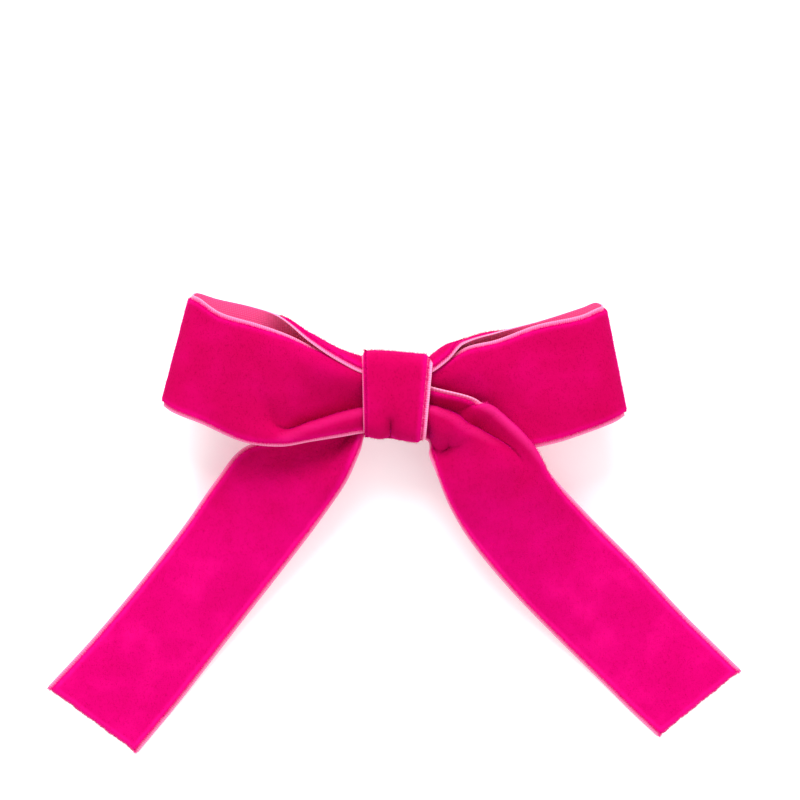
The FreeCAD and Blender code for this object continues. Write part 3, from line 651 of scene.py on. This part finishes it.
def make_fibres(name, front, normal, sideways, width, bare, ridge_crease_paint):
    """Stray fibres as narrow blades, flat side up. At the cuts, half of them are threads of the weave."""
    random = np.random.default_rng(11)
    row, place, shoulders, cuts = scatter(random, len(front), width)
    column = np.interp(place, sideways, np.arange(len(sideways)))
    root = sample(front, row, column)
    up = sample(normal, row, column)
    outward = unit(sample(np.gradient(front, axis=1), row, column))
    ahead = unit(sample(np.gradient(front, axis=0), row, column))
    reach = fibre_reaches(random, row, place < width / 2, shoulders, cuts, up, outward, ahead)
    side = FIBRE_HALF_WIDTH * unit(np.cross(reach, up + random.normal(0, FIBRE_TWIST, root.shape)))
    side[cuts] *= CUT_THREAD_WIDENING

    vertices = np.stack([root - side, root + side, root + reach], axis=1).reshape(-1, 3) * MM
    mesh = bpy.data.meshes.new(name)
    mesh.from_pydata(vertices.tolist(), [], np.arange(len(vertices)).reshape(-1, 3).tolist())
    mesh.materials.append(velvet)
    mesh.materials.append(selvedge)
    slots = np.zeros(len(root), np.int32)
    slots[cuts] = random.random(len(slots[cuts])) < 0.5
    mesh.polygons.foreach_set("material_index", slots)
    places = np.repeat(np.stack([row * ALONG_STEP, place], axis=1), 3, axis=0)
    ridge_crease_paints = np.repeat(sample(ridge_crease_paint[..., None], row, column)[:, 0], 3)
    store_pile(mesh, places, width, (len(front) - 1) * ALONG_STEP, bare, ridge_crease_paints)
    return link_piece(name, mesh)


# ---------------------------------------------------------------- pieces

def crushed_at_pinch(points):
    """Pile flattened by the wrap and the thread, within 9 mm of the middle."""
    return 0.65 * np.clip((9.0 - abs(points[..., 0])) / 2.5, 0, 1)


def crushed_on_plate(points):
    """Pile of the wrap flattened where it passes under the plate."""
    return 0.4 * np.clip(1.6 - points[..., 2], 0, 1)


def make_bow_ribbon():
    rows = (RIGHT_TAIL + FRONT_OF_PINCH + LEFT_LOOP + BACK_OF_PINCH
            + RIGHT_LOOP + MIDDLE_OF_PINCH + LEFT_TAIL)
    piece, length, fibres = make_ribbon(
        "bow_ribbon", rows, RIBBON_WIDTH, crushed_at_pinch, (SELVEDGE, SELVEDGE))
    for part in (piece, fibres):
        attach(part, "bow_and_plate")
        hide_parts("left_loop", "right_loop", "left_tail", "right_tail", "pinched_middle")


def wrap_section(y, z):
    """A cross-section of the centre wrap where it passes (y, z). It leans a little, its left edge
    curls in, and its front is hollow near the foot."""
    left = -8.3 - 0.02 * y
    right = 7.8 + 0.09 * y
    above_middle = (z - 6.0) / 6.0
    tilt = 0.085 if z > 2 else 0.0
    section = []
    for number in range(8):
        share = number / 7
        x = left + (right - left) * share
        hollow = 2.3 * math.exp(-((x + 1.1) ** 2) / 1.8 - (y + 8.4) ** 2 / 5.0) if z > 6 else 0.0
        curl = 0.07 * (1 - share) ** 8 if z > 1 else 0.0
        inward = (y - tilt * x + 0.6 * hollow) * (1 - curl)
        section.append((x, inward, z - hollow - 6 * curl * above_middle))
    return section


def make_centre_wrap():
    ring = [
        (4.2, 0.5), (0, 0.52), (-4.2, 0.5), (-7.6, 1.2), (-9.2, 3.4), (-9.6, 6.4), (-9.3, 9.0),
        (-7.5, 10.9), (-4.0, 11.7), (0.5, 12.0), (5.0, 11.9), (8.2, 11.3), (9.8, 9.4), (10.1, 6.2),
        (9.9, 3.2), (8.0, 0.6), (4.4, -0.24), (0, -0.3), (-4.4, -0.28),
    ]
    rows = [wrap_section(y, z) for y, z in ring]
    piece, length, fibres = make_ribbon(
        "centre_wrap_ribbon", rows, WRAP_RIBBON_WIDTH, crushed_on_plate, WRAP_BARE)
    for part in (piece, fibres):
        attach(part, "bow_and_plate")
        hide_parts("centre_wrap")


def squared_off(value, power):
    """A cosine or sine bent outwards, so that a circle drawn with it has flatter sides."""
    return math.copysign(abs(value) ** power, value)


def thread_path(turns, steps):
    """The middle line of a thread wound round the pinch, side by side, in millimetres."""
    count = turns * steps
    path = []
    for number in range(count + 1):
        angle = 2 * math.pi * number / steps
        x = -1.2 + 2.4 * number / count
        y = 9.05 * squared_off(math.cos(angle), 0.6)
        z = 6.35 + 4.3 * squared_off(math.sin(angle), 0.6)
        path.append(Vector((x, y, z)))
    return path


def make_binding_thread():
    """Seven turns of sewing thread round the pinched ribbon, under the wrap."""
    sides = 6
    radius = 0.13
    path = thread_path(turns=7, steps=56)
    mesh = bmesh.new()
    rings = []
    for number, point in enumerate(path):
        ahead = path[min(number + 1, len(path) - 1)] - path[max(number - 1, 0)]
        first = Vector((1, 0, 0))
        second = ahead.cross(first).normalized()
        ring = []
        for side in range(sides):
            angle = 2 * math.pi * side / sides
            offset = radius * (first * math.cos(angle) + second * math.sin(angle))
            ring.append(mesh.verts.new((point + offset) * MM))
        rings.append(ring)
    for one, two in zip(rings[:-1], rings[1:]):
        for side in range(sides):
            mesh.faces.new((one[side], one[side - 1], two[side - 1], two[side]))
    mesh.faces.new(rings[0])
    mesh.faces.new(reversed(rings[-1]))
    bmesh.ops.recalc_face_normals(mesh, faces=mesh.faces)
    data = bpy.data.meshes.new("binding_thread_winding")
    mesh.to_mesh(data)
    mesh.free()
    data.materials.append(make_sewing_thread())
    data.shade_smooth()
    piece = link_piece("binding_thread_winding", data)
    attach(piece, "bow_and_plate")
    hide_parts("binding_thread")


def make_glue_bead():
    """A squeezed bead of hot-melt glue between the plate and the ribbon."""
    half_length = 6.8
    half_width = 2.9
    half_height = 0.26
    middle = 1.94
    bpy.ops.object.select_all(action="DESELECT")
    bpy.ops.mesh.primitive_uv_sphere_add(segments=48, ring_count=24, radius=1.0)
    piece = bpy.context.object
    piece.name = "glue_bead_squeezed"
    random = np.random.default_rng(5)
    wave, ripple = random.uniform(0, 2 * math.pi, 2)
    for vertex in piece.data.vertices:
        x, y, z = vertex.co
        angle = math.atan2(y, x)
        edge = 1 - 0.05 * math.sin(3 * angle + wave) - 0.04 * math.sin(5 * angle + ripple)
        height = middle + half_height * squared_off(z, 0.5)
        vertex.co = (half_length * edge * x * MM, half_width * edge * y * MM, height * MM)
    piece.data.shade_smooth()
    piece.data.materials.append(make_hot_melt())
    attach(piece, "bow_and_plate")
    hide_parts("glue_bead")


def finish_clip():
    nickel = make_metal("nickel_plated_steel", "#c9c6c0", 0.28)
    spring = make_metal("spring_steel_strip", "#a9a7a3", 0.34)
    rivet = make_metal("rivet_wire", "#bfbcb6", 0.3)
    finishes = {
        "base_plate": nickel, "near_catch_finger": nickel, "far_catch_finger": nickel, "swing_arm": nickel,
        "tension_bar": spring, "hinge_pin": rivet,
    }
    for name, material in finishes.items():
        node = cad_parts[name]
        node.data.materials.clear()
        node.data.materials.append(material)


make_bow_ribbon()
make_centre_wrap()
make_binding_thread()
make_glue_bead()
finish_clip()


# ---------------------------------------------------------------- studio

def make_floor():
    """Matt white board under the tails. It glows slightly, as a board in a pale room does from the
    light that comes back off the walls, and that keeps the shadows on it pale."""
    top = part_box("right_tail")[0].z
    bpy.ops.object.select_all(action="DESELECT")
    bpy.ops.mesh.primitive_plane_add(size=9.0, location=(0, 0, top))
    floor = bpy.context.object
    floor.name = "floor"
    material = new_material("matt_white_board")
    shader = add_node(
        material, "ShaderNodeBsdfPrincipled", Base_Color=linear("#fbf9fa"), Roughness=0.7,
        Emission_Color=linear("#ffffff"), Emission_Strength=0.22)
    floor.data.materials.append(finish_material(material, shader))


def add_area_light(name, place, size, power):
    """A round soft light that faces the bow."""
    data = bpy.data.lights.new(name, "AREA")
    data.shape = "DISK"
    data.size = size
    data.energy = power
    light = bpy.data.objects.new(name, data)
    light.location = place
    light.rotation_euler = (-Vector(place)).to_track_quat("-Z", "Y").to_euler()
    bpy.context.scene.collection.objects.link(light)


def make_studio():
    make_floor()
    add_area_light("window", place=(-0.1, 0.8, 0.8), size=0.7, power=12.5)
    add_area_light("fill", place=(0.6, -0.5, 0.9), size=1.0, power=3.0)
    world = bpy.data.worlds.new("pale_room")
    world.use_nodes = True
    background = world.node_tree.nodes["Background"]
    background.inputs["Color"].default_value = (1, 1, 1, 1)
    background.inputs["Strength"].default_value = 0.8
    bpy.context.scene.world = world
    bpy.context.scene.view_settings.view_transform = "Standard"


def make_camera():
    """Straight above the bow, on a long lens."""
    distance = 1.2
    view_width = 0.1937
    bow_height = 0.008
    data = bpy.data.cameras.new("camera")
    data.sensor_width = 36.0
    data.lens = data.sensor_width * distance / view_width
    camera = bpy.data.objects.new("camera", data)
    camera.location = (0.0007, -0.0007, distance + bow_height)
    bpy.context.scene.collection.objects.link(camera)
    bpy.context.scene.camera = camera


make_studio()
make_camera()
